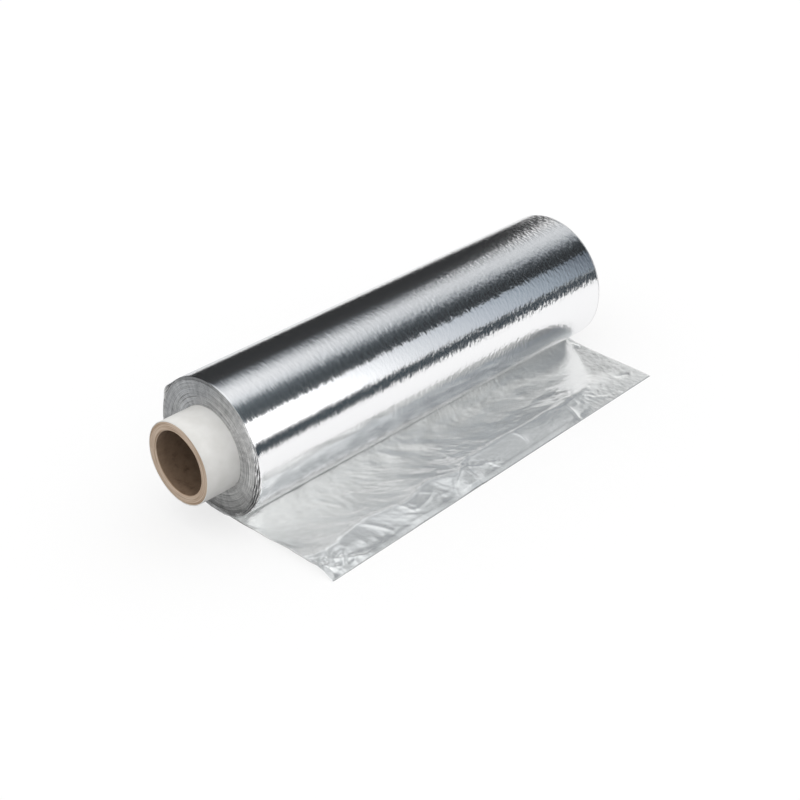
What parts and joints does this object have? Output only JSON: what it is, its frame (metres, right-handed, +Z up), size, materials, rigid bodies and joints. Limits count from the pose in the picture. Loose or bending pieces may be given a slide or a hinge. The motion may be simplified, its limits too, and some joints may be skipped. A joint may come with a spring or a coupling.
{
  "type": "aluminium foil roll",
  "caption": "Wide catering roll of aluminium foil on a white-papered board core, lying down, with a creased length pulled off towards the front.",
  "frame": {"origin": "on the table, under the roll's axis, half-way along the foil", "axes": "+X along the roll, from the end where the core stands out further to the other end; the foil is pulled off towards -Y; +Z up from the table"},
  "size_m": [0.332, 0.1431, 0.0866],
  "materials": {
    "foil": "bright rolled aluminium foil, mirror-like on the roll and satin on the pulled length",
    "core_board": "spirally wound brown board, matt",
    "core_paper": "smooth white paper, slightly satin"
  },
  "bodies": {
    "root": {"foil": "foil", "core_tube": "core_board", "core_cover": "core_paper"}
  },
  "joints": []
}
